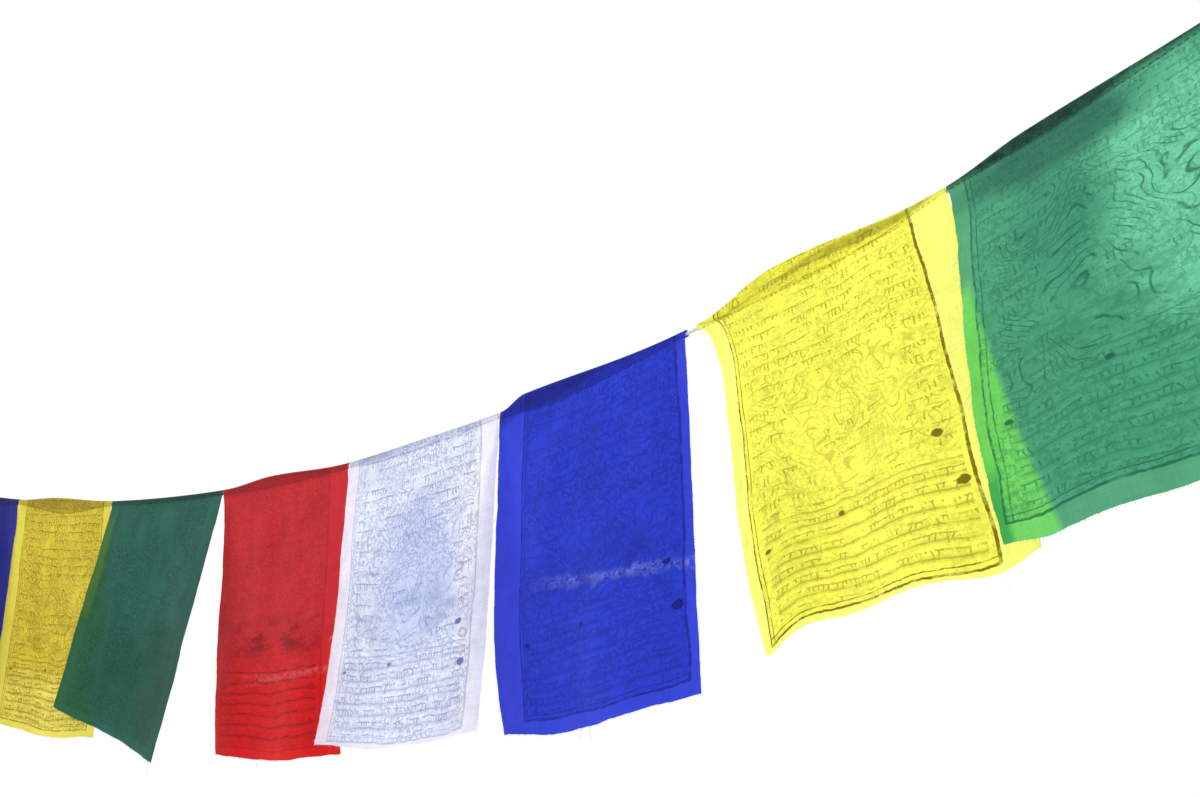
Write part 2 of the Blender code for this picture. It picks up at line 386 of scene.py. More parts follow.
def column(number, share):
    """The line down flag number at a share of the way across it."""
    cut, hang = CUTS[number], HANGS[number]
    along = STARTS[number] + cut.width * MM * share
    down = hang_direction(hang, share, along)
    side = cord_direction(along)
    front = down.cross(side).normalized()
    lift = hang.lift * MM * hump(share, hang.lift_at)
    drop = mix(cut.drop_left, cut.drop_right, share) * MM
    low = drop + cut.low_edge * MM * hump(share, cut.low_at) - FOLD_TOP
    hem = mix(HEM_SIDES, cut.hem, hump(share, cut.hem_at)) * MM
    seam = hem - FOLD_TOP - STITCH_ABOVE
    return Column(number, cut, hang, share, cord_point(along), down, side, front, lift, low, seam)


print("middle of flag 5 hangs along", column(4, 0.5).down.to_tuple(2))

# %% [markdown]
# A real flag also has small things that a solid sheet lacks. Its edges are torn or cut raw, so they
# waver. The stitches pucker the hem, and soft gathers run down from it. Creases are placed one by
# one, in each flag's own millimetres: a line from one place on the cloth to another, how far it
# stands up or sinks, and how wide it is. Broad ones read as folds and narrow ones as packing creases.

# %% Creases, gathers and wavering edges
# Each row: across and down at one end, across and down at the other, height, width
CREASES = {
    "flag_1_blue": ((20, 90, 160, 60, 1.2, 9), (0, 128, 178, 132, -0.7, 2.2)),
    "flag_2_yellow": (
        (0, 196, 178, 203, -1.0, 4), (0, 214, 178, 219, 0.9, 4), (60, 30, 84, 190, 1.4, 12),
    ),
    "flag_3_green": (
        (40, 20, 66, 236, 1.6, 16), (110, 30, 150, 190, -1.3, 14), (10, 190, 120, 160, 0.8, 7),
    ),
    "flag_4_red": (
        (0, 176, 179, 170, 0.9, 2.6), (0, 200, 179, 198, -0.6, 3), (0, 218, 179, 215, 0.7, 3),
        (70, 20, 60, 160, 1.6, 14), (120, 30, 135, 170, -1.2, 12),
    ),
    "flag_5_white": (
        (20, 190, 92, 158, 1.0, 4), (80, 165, 160, 168, -0.8, 3), (0, 205, 175, 212, 0.6, 4),
        (45, 16, 60, 90, 1.3, 9),
    ),
    "flag_6_blue": (
        (10, 142, 174, 160, 1.0, 2.6), (60, 30, 48, 140, 1.5, 12), (120, 25, 128, 150, -1.3, 12),
        (96, 168, 90, 240, 1.2, 11),
    ),
    "flag_7_yellow": (
        (60, 100, 84, 200, 1.3, 10), (20, 175, 110, 150, 0.8, 4), (120, 20, 150, 120, 1.1, 13),
    ),
    "flag_8_green": (
        (30, 176, 150, 162, 0.9, 4), (60, 26, 70, 150, 1.4, 14), (110, 60, 120, 220, -1.3, 14),
    ),
}
STITCH_PITCH = 3.6
EDGE_HOLD = 14  # the power by which a wavering edge dies out inwards


def uneven(x, y, z):
    """Smooth noise between -1 and 1 at a place."""
    return noise.noise(Vector((x, y, z)))


def crease_height(across, down, across_1, down_1, across_2, down_2, height, width):
    """How far one crease lifts the cloth at a place, in millimetres."""
    run = Vector((across_2 - across_1, down_2 - down_1))
    place = Vector((across - across_1, down - down_1))
    share = place.dot(run) / run.length_squared
    off = (place - run * share).length + 0.8 * uneven(across / 14, down / 14, 3)
    ends = smooth(share, -0.05, 0.2) * (1 - smooth(share, 0.8, 1.05))
    return height * exp(-((off / width) ** 2)) * ends


def crinkle(col, down):
    """The fine relief that the solid sheet lacks, in millimetres, at a depth below the fold."""
    across = col.share * col.cut.width
    seed = 10.0 * col.number
    hung = smooth(down, 8, 45)
    rumple = 1.1 * uneven(across / 38, down / 52, seed) * hung
    rumple += 0.35 * uneven(across / 13, down / 19, seed + 3) * hung
    gathers = 0.9 * uneven(across / 9, down / 90, seed + 5)
    gathers *= smooth(down, 6, 20) * exp(-down / 55)
    stitched = exp(-(((down - (col.seam + FOLD_TOP) / MM) / 3) ** 2))
    pucker = 0.14 * cos(2 * pi * across / STITCH_PITCH) * stitched
    folds = sum(crease_height(across, down, *crease) for crease in CREASES[col.cut.name])
    return rumple + gathers + pucker + folds


def waver(seed, place):
    """How far a raw edge strays from its line, in millimetres."""
    return 0.75 * uneven(place / 17, seed, 0.5) + 0.3 * uneven(place / 3.1, seed, 7.5)


def drape(col, depth, forward=POCKET_RADIUS):
    """The point of the cloth at a depth under the cord's middle and a place in front of it."""
    hang, share = col.hang, col.share
    down = (depth + FOLD_TOP) / MM
    fall = max(0.0, (depth - POCKET_BELOW) / (col.low - POCKET_BELOW))
    window = 1 - (2 * share - 1) ** 4
    relief = hang.belly * sin(pi * share) * sin(BELLY_TURN * fall) + hang.bow * sin(pi * fall)
    relief += hang.ripple * window * fall * sin(2 * pi * hang.waves * (share + WAVE_SLANT * fall))
    relief += crinkle(col, down)
    high = sin(pi * min(1.0, fall) ** 0.5)
    low = sin(pi * min(1.0, fall) ** 1.6)
    shift = (hang.waist_left * high + hang.tuck_left * low) * (1 - share) ** 3
    shift -= (hang.waist_right * high + hang.tuck_right * low) * share**3
    free = smooth(down, 4, 26)
    shift += waver(col.number + 0.2, down) * (1 - share) ** EDGE_HOLD * free
    shift += waver(col.number + 0.6, down) * share**EDGE_HOLD * free
    depth += waver(col.number + 0.9, share * col.cut.width) * MM * fall**EDGE_HOLD
    out = col.front * (forward + relief * MM)
    return col.top + col.down * depth + out + col.side * shift * MM


print("flag 6 crinkle at its crease:", round(crinkle(column(5, 0.5), 151), 2), "mm")

# %% [markdown]
# Each flag is one sheet: from the raw edge of the hem behind, up to the cord, over it and down the
# front. A grid with a vertex every two millimetres carries the finest gather. Its UV map holds
# lengths, across and down, so that the print and the weave can be given in millimetres. Every
# flag's lower edge is at the same length there, because one block prints them all.

# %% Weave the sheets
GRID = 2.0  # millimetres between the grid's lines across
FRONT_ROWS = 118  # and its rows down the front, about as far apart
HEM_ROWS = 12  # rows up the hem's back
ARC_ROWS = 12  # rows over the cord
HEM_GAP = 0.55 * MM  # between the hem's two layers at the stitches


def sheet_section(col):
    """The sheet's section as (depth, forward, down the print in millimetres)."""
    fold = []
    for k in range(HEM_ROWS + 1):
        depth = mix(col.seam + STITCH_ABOVE, -col.lift, (k / HEM_ROWS) ** 0.8)
        share = 1 - smooth(depth, min(POCKET_BELOW, col.seam * 0.35), col.seam)
        fold.append((depth, mix(POCKET_RADIUS - HEM_GAP, -POCKET_RADIUS, share)))
    flatter = 0.35 * smooth(col.lift, 2 * MM, 9 * MM)
    for k in range(1, ARC_ROWS + 1):
        angle = pi * k / ARC_ROWS
        level = mix(-POCKET_RADIUS * cos(angle), POCKET_RADIUS, flatter * sin(angle / 2 + pi / 4) ** 2)
        fold.append((-col.lift - POCKET_RADIUS * POCKET_RISE * sin(angle), level))
    lengths = travelled([Vector(place) for place in fold])
    front = (FOLD_TOP - col.lift) / MM
    section = [(*place, front + (length - lengths[-1]) / MM) for place, length in zip(fold, lengths)]
    full = (col.low + FOLD_TOP) / MM
    for k in range(1, FRONT_ROWS + 1):
        depth = mix(-col.lift, col.low, k / FRONT_ROWS)
        down = (depth + FOLD_TOP) / MM
        printed = mix(down, down * PRINT_DROP / full, smooth(down, 0, 60))
        section.append((depth, POCKET_RADIUS, printed))
    return section


def weave_sheet(number, name):
    """Flag number as one hanging sheet with its hem."""
    cut = CUTS[number]
    steps = round(cut.width / GRID)
    build = bmesh.new()
    places = build.loops.layers.uv.new("cloth")
    lines = []
    for i in range(steps + 1):
        share = i / steps
        col = column(number, share)
        line = []
        for depth, forward, down in sheet_section(col):
            vert = build.verts.new(drape(col, depth, forward))
            line.append((vert, (share * cut.width * MM, down * MM)))
        lines.append(line)
    for left, right in zip(lines, lines[1:]):
        for k in range(len(left) - 1):
            corners = (left[k], left[k + 1], right[k + 1], right[k])
            face = build.faces.new([vert for vert, _ in corners])
            for loop, (_, place) in zip(face.loops, corners):
                loop[places].uv = place
    return mesh_object(name, build)


sheets = [weave_sheet(i, f"{cut.colour}_flag_{i + 1}") for i, cut in enumerate(CUTS)]
print("faces in the sheets:", sum(len(sheet.data.polygons) for sheet in sheets))

# %% [markdown]
# The hem is closed by one row of running stitches. Each stitch is a short bead of thread that dips
# into the cloth at both ends, in front and behind by turns.

# %% Sew the hems
THREAD = 0.26 * MM  # radius of the sewing thread
THREAD_TAPER = (0.6, 1, 1, 1, 0.6)  # its radius along one stitch, as shares
STITCH_SIDES = 5
STITCH_MARGIN = 2  # millimetres from a flag's side to the first stitch
STITCH_IN_FRONT = 0.62  # the share of the pitch for which the thread lies in front
STITCH_BULGE = 0.32 * MM
STITCH_BITE = 0.08 * MM  # how deep a stitch's ends lie in the cloth


def sew_hem(number, name):
    """The row of stitches along one flag's hem."""
    width = CUTS[number].width
    build = bmesh.new()
    count = int((width - 2 * STITCH_MARGIN) / STITCH_PITCH)
    last = len(THREAD_TAPER) - 1
    for i in range(2 * count):
        in_front = i % 2 == 0
        begin = STITCH_MARGIN + (i // 2) * STITCH_PITCH
        begin += 0 if in_front else STITCH_PITCH * STITCH_IN_FRONT
        span = STITCH_PITCH * (STITCH_IN_FRONT if in_front else 1 - STITCH_IN_FRONT)
        points = []
        for k in range(last + 1):
            col = column(number, (begin + span * k / last) / width)
            bulge = STITCH_BULGE * sin(pi * k / last) - STITCH_BITE
            forward = POCKET_RADIUS + bulge if in_front else POCKET_RADIUS - HEM_GAP - bulge
            depth = col.seam + 0.12 * MM * uneven(begin, number, 2)
            points.append(drape(col, depth, forward))
        tube(build, points, STITCH_SIDES, lambda k, angle: (angle, THREAD * THREAD_TAPER[k]))
    return mesh_object(name, build)


seams = [sew_hem(i, f"{cut.colour}_stitches_{i + 1}") for i, cut in enumerate(CUTS)]
print("faces in the stitches:", sum(len(seam.data.polygons) for seam in seams))

# %% [markdown]
# The sides and the lower edge are cut, never hemmed, so the weave comes apart there. Short thread
# ends stand out all along, and here and there a long one has worked loose and dangles. A seeded
# draw places them: the same threads come out each time.

# %% Fray the raw edges
FRAY_PITCH = 1.5  # millimetres between the short thread ends
FRAY_RADIUS = 0.09 * MM
FRAY_FIRST = 16 * MM  # how far below the cord the sides begin to fray
FRAY_SPARED = 30  # millimetres of a side that add no thread ends to its count
FRAY_SHORT = (0.3, 1.0, 2)  # shortest and longest in millimetres, and pieces in the bend
FRAY_LONG = (2.5, 7, 7)
LONG_THREADS = 4  # on each flag
DROOP = Vector((0, 0, -1))


def fray_thread(build, root, way, length, steps, draw):
    """One thread end from its root in the cloth, bending down as it goes."""
    points = [root - way * 0.5 * MM]
    wander = Vector((draw.uniform(-1, 1), draw.uniform(-1, 1), draw.uniform(-1, 1))) * 0.35
    for k in range(1, steps + 1):
        share = k / steps
        bend = DROOP * share * share * length * 0.55 + wander * sin(pi * share) * length * 0.3
        points.append(root + way * share * length + bend)
    tube(build, points, 3, lambda k, angle: (angle, FRAY_RADIUS * (1 - 0.5 * k / steps)))


def fray_edges(number, name):
    """All the thread ends along one flag's sides and lower edge."""
    cut = CUTS[number]
    draw = random.Random(100 + number)
    build = bmesh.new()
    places = []
    for share, outward in ((0.0, -1), (1.0, 1)):
        col = column(number, share)
        count = int((cut.drop_left - FRAY_SPARED) / FRAY_PITCH)
        for k in range(count):
            depth = mix(FRAY_FIRST, col.low - 2 * MM, (k + draw.random()) / count)
            places.append((col, depth, col.side * outward))
    count = int(cut.width / FRAY_PITCH)
    for k in range(count):
        col = column(number, min(1.0, (k + draw.random()) / count))
        places.append((col, col.low, col.down))
    long_ones = set(draw.sample(range(len(places)), LONG_THREADS))
    for k, (col, depth, way) in enumerate(places):
        way = way + col.down * draw.uniform(-0.3, 0.7) + col.front * draw.uniform(-0.5, 0.5)
        shortest, longest, steps = FRAY_LONG if k in long_ones else FRAY_SHORT
        length = draw.uniform(shortest, longest) * MM
        fray_thread(build, drape(col, depth), way.normalized(), length, steps, draw)
    return mesh_object(name, build)


frays = [fray_edges(i, f"{cut.colour}_frayed_ends_{i + 1}") for i, cut in enumerate(CUTS)]
print("faces in the frayed ends:", sum(len(fray.data.polygons) for fray in frays))

# %% [markdown]
# A material is a graph of nodes. Drawing print with raw nodes gets long, so Value wraps one output
# of the graph and lets Python's own arithmetic add the maths nodes. Two more signs help to draw:
# a | b is ink where either has ink, and a & b is ink where both have.

# %% Arithmetic that builds nodes
class Value:
    """A number that varies over the cloth."""

    def __init__(self, tree, socket):
        self.tree = tree
        self.socket = socket

    def calc(self, operation, *others, clamp=False):
        inputs = dict(enumerate((self, *others)))
        return output(node(self.tree, "Math", inputs, operation=operation, use_clamp=clamp))


SIGNS = {"__add__": "ADD", "__sub__": "SUBTRACT", "__mul__": "MULTIPLY", "__truediv__": "DIVIDE"}
SIGNS |= {"__or__": "MAXIMUM", "__and__": "MINIMUM", "__abs__": "ABSOLUTE"}
SIGNS |= {"floor": "FLOOR", "fraction": "FRACT", "sine": "SINE"}
for sign, operation in SIGNS.items():
    setattr(Value, sign, partialmethod(Value.calc, operation))


def feed(item, socket):
    """Give a socket a number, a colour or the output of a node."""
    if isinstance(item, Value):
        item.tree.links.new(item.socket, socket)
    else:
        socket.default_value = item


def node(tree, kind, inputs=None, **settings):
    """A new node with some of its settings and inputs."""
    made = tree.nodes.new("ShaderNode" + kind)
    for key, value in settings.items():
        setattr(made, key, value)
    for key, item in (inputs or {}).items():
        feed(item, made.inputs[key])
    return made


def output(made, key=0):
    return Value(made.id_data, made.outputs[key])


def joined(x, y, z=0.0):
    """Three numbers as one vector."""
    return output(node(x.tree, "CombineXYZ", {0: x, 1: y, 2: z}))


def cloud(place, scale, detail=2.0, rough=0.5):
    """Soft noise between 0 and 1 at a place."""
    inputs = {"Vector": place, "Scale": scale, "Detail": detail, "Roughness": rough}
    return output(node(place.tree, "TexNoise", inputs), "Fac")


def chance(x, y, seed):
    """A number between 0 and 1 that is the same all over one cell of a grid."""
    return output(node(x.tree, "TexWhiteNoise", {"Vector": joined(x, y, seed)}), "Value")


def length_of(x, y):
    return (x * x + y * y).calc("SQRT")


def node_group(name, given, made):
    """An empty node group, and the values that it is given."""
    group = bpy.data.node_groups.new(name, "ShaderNodeTree")
    for way, names in (("INPUT", given), ("OUTPUT", made)):
        for item in names.split():
            group.interface.new_socket(item, in_out=way, socket_type="NodeSocketFloat")
    source = group.nodes.new("NodeGroupInput")
    return group, [output(source, item) for item in given.split()]


def give_out(group, **results):
    """End a node group with its results, by name."""
    end = group.nodes.new("NodeGroupOutput")
    for name, value in results.items():
        feed(value, end.inputs[name])
    return group


print("node helpers ready")

# %% [markdown]
# Prayer flags are printed by hand from a carved woodblock. The lines below draw a block of the same
# build, and copy no real one: rules round the edge, rows of plain ticks and dashes where words
# would be, and in the middle a jewel on a lotus inside a halo, with cloud scrolls and flowing
# lines. Every stroke is a distance turned into ink: dark near its line, with a soft edge.

# %% Strokes of the woodblock
INK_EDGE = 0.4  # millimetres over which a stroke's edge fades
TICK_PITCH = 2.9  # millimetres between the ticks in a row
ROW_PITCH = 8.6  # and between the rows
SCROLL_PITCH = 4.4


def above(value, limit, soft=INK_EDGE):
    """1 where the value is over the limit."""
    return ((value - limit) / soft).calc("ADD", 0.5, clamp=True)


def below(value, limit, soft=INK_EDGE):
    return ((value * -1 + limit) / soft).calc("ADD", 0.5, clamp=True)


def stroke(distance, half=0.45):
    """Ink where the distance from a line's middle is under half its width, in millimetres."""
    return below(abs(distance), half)


def repeated(value, pitch):
    """The distance from the middle of the nearest of many lines."""
    return ((value / pitch).fraction() - 0.5) * pitch


def tick_rows(x, y, first, seed):
    """Rows of uneven ticks, dashes and dots, as marks that spell nothing."""
    rows = (y - first) / ROW_PITCH
    row = rows.floor()
    level = rows.fraction() * ROW_PITCH
    cell = (x / TICK_PITCH).floor()
    beside = repeated(x, TICK_PITCH)
    tall = chance(cell, row, seed)
    turn = chance(cell, row, seed + 9)
    word = chance((x / (4 * TICK_PITCH)).floor(), row, seed + 4)
    dashes = stroke(level - ROW_PITCH * 0.24) & above(turn + word, 0.7, 0.02)
    slant = beside + (level - ROW_PITCH * 0.45) * ((turn - 0.5) * 0.9)
    foot = below(level - tall * ROW_PITCH * 0.55, ROW_PITCH * 0.3)
    ticks = stroke(slant, 0.52) & above(level, ROW_PITCH * 0.2) & foot & above(turn, 0.16, 0.02)
    dots = stroke(length_of(beside, level - ROW_PITCH * 0.82), 0.55) & above(tall, 0.66, 0.02)
    return (dashes | ticks | dots) & above(word, 0.06, 0.02)


def scroll(x, y, at_x, at_y, radius, hand):
    """A curled cloud: a line that winds outwards round its own middle."""
    a = (x - at_x) * hand
    b = y - at_y
    reach = length_of(a, b)
    wound = reach - b.calc("ARCTAN2", a) * (SCROLL_PITCH / (2 * pi))
    return stroke(repeated(wound, SCROLL_PITCH)) & below(reach, radius, 1.5)


print("woodblock strokes ready")

# %% [markdown]
# The block itself is one node group, drawn once and shared by all eight flags. Its inputs are the
# place on the cloth and the cloth's width, and its outputs are kept apart, so that each flag can
# take more of the border and less of the marks, as its own pull from the block came out. Ink from
# a block is never even: noise makes the strokes waver, and a film of noise breaks them up.

# %% Carve the woodblock
EMBLEM_DOWN = 116  # the emblem's middle, in millimetres below the fold
EMBLEM_REACH = 42
FLOW_PITCH = 4.6  # between the flowing lines
SIDE_RULE = 14  # the outer rule's distance from the left side
RIGHT_RULE = 17
LOW_RULE = 11
LOW_ROWS = 170  # where the ruled rows under the emblem begin
# Blots of ink: across, down, radius
HEAVY_DOTS = ((21, 180, 1.9), (70, 174, 1.9), (149, 183, 3.4), (142, 153, 2.8))
# Clouds round the emblem: across, up, radius, and which way they curl
CLOUDS = ((-52, 34, 12, 1), (44, 42, 9, -1), (-40, -30, 9, 1), (52, -26, 14, -1))


def wobbled(place, scale, reach, detail):
    """How far the carver's hand and the cloth's give shift the block's lines, in millimetres."""
    made = node(place.tree, "TexNoise", {"Vector": place, "Scale": scale, "Detail": detail})
    parts = node(place.tree, "SeparateColor", {0: output(made, "Color")})
    return (output(parts, 0) - 0.5) * reach, (output(parts, 1) - 0.5) * reach


def carve_emblem(a, b):
    """A flaming jewel on a lotus, with clouds and a line of hills, round the point (0, 0)."""
    reach = length_of(a, b)
    flames = abs((b.calc("ARCTAN2", a) * 6.5).sine())
    halo = stroke(reach - (flames * 6 + EMBLEM_REACH - 7), 0.55)
    halo = (halo | stroke(reach - (flames * 3 + 27))) & above(b, -22, 3)
    lotus_y = (b + 20) * 1.5
    lotus_reach = length_of(a, lotus_y)
    petals = abs((lotus_y.calc("ARCTAN2", a) * 5).sine())
    lotus = stroke(lotus_reach - (petals * 7 + 18), 0.5) | stroke(lotus_reach - (petals * 4 + 9))
    rise = ((b + 12) / 36).calc("ADD", 0.0, clamp=True)
    half_width = (rise * pi).sine() * 13 * (rise * -0.45 + 1)
    jewel = stroke(abs(a) - half_width, 0.6) | stroke(abs(a) - half_width * 0.5)
    drawn = halo | lotus & below(b, -9) | jewel & above(b, -12) & below(b, 24)
    for cloud_row in CLOUDS:
        drawn = drawn | scroll(a, b, *cloud_row)
    hills = stroke(b + 42 + ((a + 20) / 15).sine() * 5, 0.55) & below(abs(a - 10), 62)
    ribbon = stroke(b + 33 - ((a - 14) / 21).sine() * 9, 0.5) & below(abs(a + 18), 34)
    return drawn | hills | ribbon


def carve_block():
    """The woodblock as a node group."""
    group, (plain_x, plain_y, wide, seed, slant) = node_group(
        "woodblock",
        "Across Down Width Seed Slant",
        "Inside Border Marks Lines Emblem Flow Grain Solid Dots",
    )
    place = joined(plain_x, plain_y, seed * 7)
    fine_x, fine_y = wobbled(place, 0.28, 1.3, 3.0)
    mid_x, mid_y = wobbled(place, 0.07, 4.0, 2.0)
    slow_x, slow_y = wobbled(place, 0.02, 6.0, 1.0)
    foot = PRINT_DROP - LOW_RULE

    x, y = plain_x + fine_x + slow_x, plain_y + fine_y + slow_y
    x = x + (plain_y - 60) * slant * (plain_x / wide * -1 + 1)
    right = x * -1 + wide
    between = above(x, SIDE_RULE) & above(right, RIGHT_RULE)
    inside = between & below(y, foot)
    rules = stroke(x - SIDE_RULE, 0.55) | stroke(x - (SIDE_RULE + 3.2), 0.35)
    rules = (rules | stroke(right - RIGHT_RULE, 1.0)) & below(y, foot + 0.5)
    low = (stroke(y - foot, 0.7) | stroke(y - (foot - 3.4), 0.36)) & between

    x, y = x + mid_x, y + mid_y - (plain_x - wide * 0.5) * slant
    a, b = x - wide * 0.5 - 3, y * -1 + EMBLEM_DOWN
    reach = length_of(a, b)
    field = above(plain_x, SIDE_RULE + 5) & above(plain_x * -1 + wide, RIGHT_RULE + 5)
    field = field & below(plain_y, foot - 5)
    upper = tick_rows(x, y, 6, seed) & below(y, LOW_ROWS - 6)
    upper = upper & (above(reach, EMBLEM_REACH + 2) | below(reach, 25) & below(b, -2) | above(b, 36))
    lower = tick_rows(x, y, LOW_ROWS, seed + 11) & above(y, LOW_ROWS)
    from_line = abs(((y - LOW_ROWS) / ROW_PITCH).fraction() * ROW_PITCH - 6)
    lines = (stroke(from_line, 0.6) | below(from_line, 1.8, 1.6) * 0.5) & above(y, LOW_ROWS - 3)

    swell = cloud(place, 0.019, 1.7)
    flow = stroke(repeated(b * 0.62 + a * 0.4 + swell * 96, FLOW_PITCH))
    flow = flow & below(abs(a), 66, 8) & below(abs(b - 2), 58, 8)
    flow = flow & above(cloud(place, 0.055, 3.0), 0.48, 0.08)

    worn = above(cloud(place, 0.13, 4.0, 0.65), 0.44, 0.16)
    speckle = above(cloud(place, 0.42, 3.0, 0.7), 0.52, 0.12)
    speckle = speckle & above(cloud(place, 0.045, 3.0), 0.44, 0.2)
    flat_place = joined(plain_x * 0.45, plain_y, seed * 7)
    blotch = above(cloud(flat_place, 0.085, 5.0, 0.7), 0.53, 0.14)
    base = below(abs(b + 25), 14, 20) & below(abs(a - 6), 60, 30)
    off_x, off_y = plain_x + mid_x + fine_x * 2, plain_y + mid_y + fine_y * 2
    dots = None
    for at_x, at_y, radius in HEAVY_DOTS:
        dot = below(length_of((off_x - at_x) * 0.8, (off_y - at_y) * 1.25), radius, 0.8)
        dots = dot if dots is None else dots | dot
    return give_out(
        group,
        Inside=inside,
        Border=(rules | low) * (worn * 0.6 + 0.4),
        Marks=((upper | lower) & field) * worn,
        Lines=(lines & field) * (worn * 0.5 + 0.5),
        Emblem=(carve_emblem(a, b) & field) * worn,
        Flow=flow & field & (worn * 0.7 + 0.3),
        Grain=speckle & inside,
        Solid=blotch & base & inside,
        Dots=dots,
    )


woodblock = carve_block()
print("the woodblock takes", len(woodblock.nodes), "nodes")

# %% [markdown]
# The cloth is plain weave: one thread over, one thread under. Its bump comes from two sets of
# ridges that swap places in every other cell. Yarn spun for cheap cotton is uneven, so long thin
# slubs run both ways and show in colour as well as relief.

# %% The plain weave
THREAD_PITCH = 0.62  # millimetres between the threads


def weave_group():
    """Plain weave as a node group: its height, and how light the yarn is."""
    group, (x, y, seed) = node_group("plain_weave", "Across Down Seed", "Height Slub")
    u, v = x / THREAD_PITCH, y / THREAD_PITCH
    over = ((u.floor() + v.floor()) * pi).calc("COSINE")
    warp = (u.fraction() * pi).sine()
    weft = (v.fraction() * pi).sine()
    height = (warp * (over * 0.25 + 0.75)) | (weft * (over * -0.25 + 0.75))
    long_warp = cloud(joined(x * 1.1, y * 0.05, seed), 1.0, 2.0)
    long_weft = cloud(joined(x * 0.045, y * 1.1, seed + 5), 1.0, 2.0)
    slub = (long_warp + long_weft) * 0.5
    return give_out(group, Height=height * 0.7 + slub * 0.9, Slub=slub)


plain_weave = weave_group()
print("the weave takes", len(plain_weave.nodes), "nodes")

# %% [markdown]
# Thin cotton glows: half of the light that reaches the eye has come through the cloth from behind.
# So its shader is a mix of two, a matt one with a little sheen for the light in front and a
# translucent one for the light behind. Dye never takes evenly and creases rub pale. Light and shade
# are also painted into the colour: the flags further left are darker, where two flags overlap the
# one behind shines through as a painted strip of another colour with a soft edge, the hem carries
# a dark band of painted shade, and one patch is painted light and another painted shadow.

# %% Dyed and printed cotton, with painted light and shade
LIGHT_GAIN = 1.06  # how much light falls on the cloth, next to a plain white surround

# How each flag was dyed and printed. Colours are 0 to 255, as a screen shows them. Of the two
# flags of each dye, the one further left has a darker colour: painted shade, for the less light
# that comes through it from behind. The faint pink of flag 5's margin is painted light from the
# red flag behind it. In millimetres, low is the bare cloth left under the block, aside how far
# right of its place the block came down and narrow how much the cloth was gathered under it. slant
# turns the rows: their rise for each millimetre across. The rest are the strengths of the block's
# outputs, to 1.
Pull = namedtuple(
    "Pull", "margin cloth ink low slant aside narrow border marks lines grain emblem flow solid dots"
)
PULLS = {
    "flag_1_blue": Pull(
        (36, 40, 136), (24, 30, 132), (18, 18, 66),
        11, 0.0, 0, 0, 0.5, 0.5, 0.5, 0.4, 0.5, 0.4, 0.3, 0.6,
    ),
    "flag_2_yellow": Pull(
        (228, 214, 74), (222, 202, 58), (124, 100, 4),
        6, 0.0, 3, 0, 0.7, 0.85, 0.8, 0.6, 0.7, 0.7, 0.5, 0.9,
    ),
    "flag_3_green": Pull(
        (38, 97, 84), (37, 97, 85), (16, 68, 52),
        8, 0.0, 0, 0, 0.3, 0.3, 0.3, 0.8, 0.25, 0.4, 0.7, 0.3,
    ),
    "flag_4_red": Pull(
        (200, 40, 48), (198, 40, 46), (120, 6, 22),
        7, 0.0, -6, 0, 0.4, 0.35, 0.75, 0.35, 0.3, 0.3, 0.8, 0.6,
    ),
    "flag_5_white": Pull(
        (238, 234, 252), (232, 238, 254), (112, 126, 184),
        3, 0.0, 0, 0, 0.5, 0.75, 0.6, 0.5, 0.5, 0.65, 0.5, 1.0,
    ),
    "flag_6_blue": Pull(
        (50, 66, 214), (38, 60, 206), (18, 28, 126),
        9, 0.0, 13, 4, 0.8, 0.55, 0.5, 0.5, 0.45, 0.55, 0.6, 1.0,
    ),
    "flag_7_yellow": Pull(
        (254, 255, 122), (254, 255, 92), (130, 112, 8),
        4, 0.03, -1, 6, 1.0, 0.65, 0.6, 0.3, 0.45, 0.45, 0.1, 1.0,
    ),
    "flag_8_green": Pull(
        (84, 164, 122), (73, 160, 121), (18, 94, 70),
        10, 0.03, -5, 0, 0.8, 0.6, 0.5, 0.4, 0.45, 0.8, 0.5, 0.9,
    ),
}
# Where a fold has rubbed the dye pale: down at the left and at the right, half width, strength
RUBS = {"flag_4_red": (178, 173, 2.4, 0.35), "flag_6_blue": (134, 161, 2.8, 0.6)}
# Painted shade where the hem shows dark, since the doubled cloth and the cord inside it hold back
# the light from behind: colour, how far the band sags below the fold, half its width at the sides
# and at its widest, where that is and how far it reaches as shares across, strength
HEM_PAINTED_SHADE = {
    "flag_2_yellow": ((140, 118, 16), 6, 1.5, 5, 0.5, 0.6, 0.28),
    "flag_3_green": ((14, 66, 50), 0, 1.5, 3.5, 0.8, 0.4, 0.75),
    "flag_4_red": ((130, 14, 30), 0, 1.5, 3, 0.75, 0.4, 0.5),
    "flag_5_white": ((130, 142, 190), 0, 1, 3, 0.2, 0.25, 0.5),
    "flag_6_blue": ((16, 22, 110), 0, 1.5, 8, 0.16, 0.45, 0.6),
    "flag_7_yellow": ((140, 118, 0), 13, 0.7, 4.5, 0.66, 0.3, 0.65),
    "flag_8_green": ((0, 52, 38), 0, 2.4, 7.5, 0.33, 0.26, 1.0),
}
# Painted light where the flag behind shines through, as a strip of another colour: colour, width
# of the strip at its top and its growth for each millimetre down, first and last down, softness
PAINTED_SHINE_THROUGH = {
    "flag_3_green": (((36, 94, 60), 0, 0.29, 5, 240, 16), ((62, 108, 46), 14, 0.0, 25, 140, 8)),
    "flag_8_green": (((112, 212, 104), 5, 0.15, 92, 250, 4), ((64, 170, 88), 5, 0.0, 204, 250, 3)),
}
